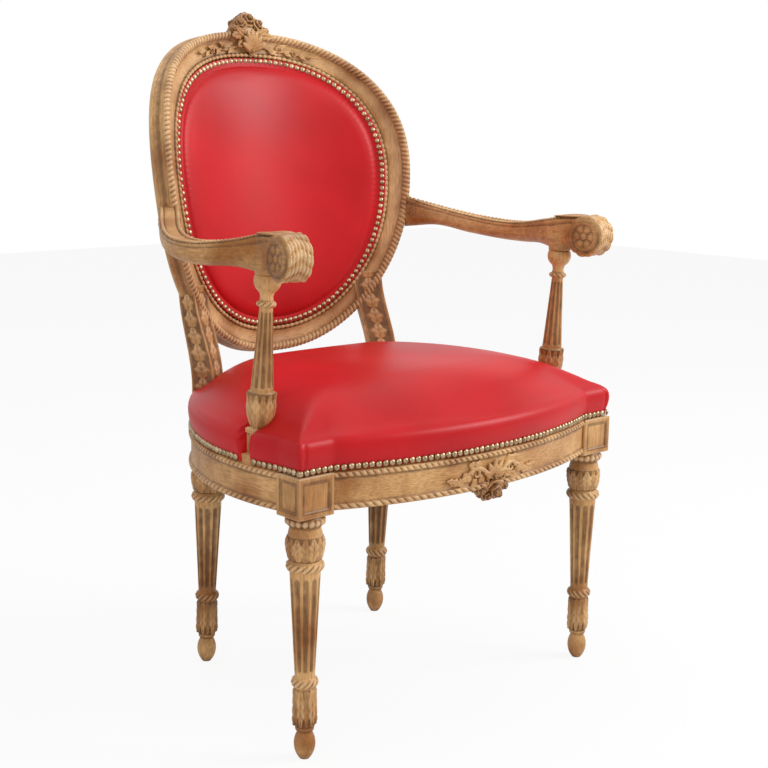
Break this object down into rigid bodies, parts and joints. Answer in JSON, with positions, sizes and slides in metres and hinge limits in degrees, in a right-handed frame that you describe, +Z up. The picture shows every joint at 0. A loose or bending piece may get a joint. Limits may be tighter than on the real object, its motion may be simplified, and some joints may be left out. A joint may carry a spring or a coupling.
{
  "type": "armchair",
  "caption": "Open armchair in carved, bleached beech with an oval back, fluted legs, scrolled arms and red leather held by brass dome nails.",
  "frame": {"origin": "on the floor, under the middle of the chair's outer box", "axes": "+Z up, -Y the way the chair faces, +X to the right of someone who looks at its front"},
  "size_m": [0.6478, 0.5794, 0.9854],
  "materials": {
    "carved_wood": "bleached and waxed beech, brown wax left in the carving",
    "plain_wood": "planed beech, unfinished",
    "red_leather": "smooth cowhide, semi-gloss",
    "horsehair": "curled horsehair under calico",
    "hessian": "plain weave jute",
    "webbing": "twill jute strap",
    "dust_cloth": "plain black cotton",
    "brass_nails": "antiqued brass"
  },
  "bodies": {
    "root": {"front_leg_left": "carved_wood", "side_rail_left": "carved_wood", "rear_stile_left": "carved_wood", "arm_left": "carved_wood", "arm_post_left": "carved_wood", "front_brace_left": "plain_wood", "rear_brace_left": "plain_wood", "front_leg_right": "carved_wood", "side_rail_right": "carved_wood", "rear_stile_right": "carved_wood", "arm_right": "carved_wood", "arm_post_right": "carved_wood", "front_brace_right": "plain_wood", "rear_brace_right": "plain_wood", "front_rail": "carved_wood", "crest_rail": "carved_wood", "bottom_back_rail": "carved_wood", "crest_carving": "carved_wood", "front_rail_carving": "carved_wood", "rear_rail": "plain_wood", "joint_pegs": "plain_wood", "seat_cover": "red_leather", "back_cover": "red_leather", "outside_back_cover": "red_leather", "seat_stuffing": "horsehair", "back_stuffing": "horsehair", "seat_hessian": "hessian", "back_hessian": "hessian", "seat_webbing": "webbing", "back_webbing": "webbing", "dust_cloth": "dust_cloth", "seat_nails": "brass_nails", "back_nails": "brass_nails", "outside_back_nails": "brass_nails"}
  },
  "joints": []
}
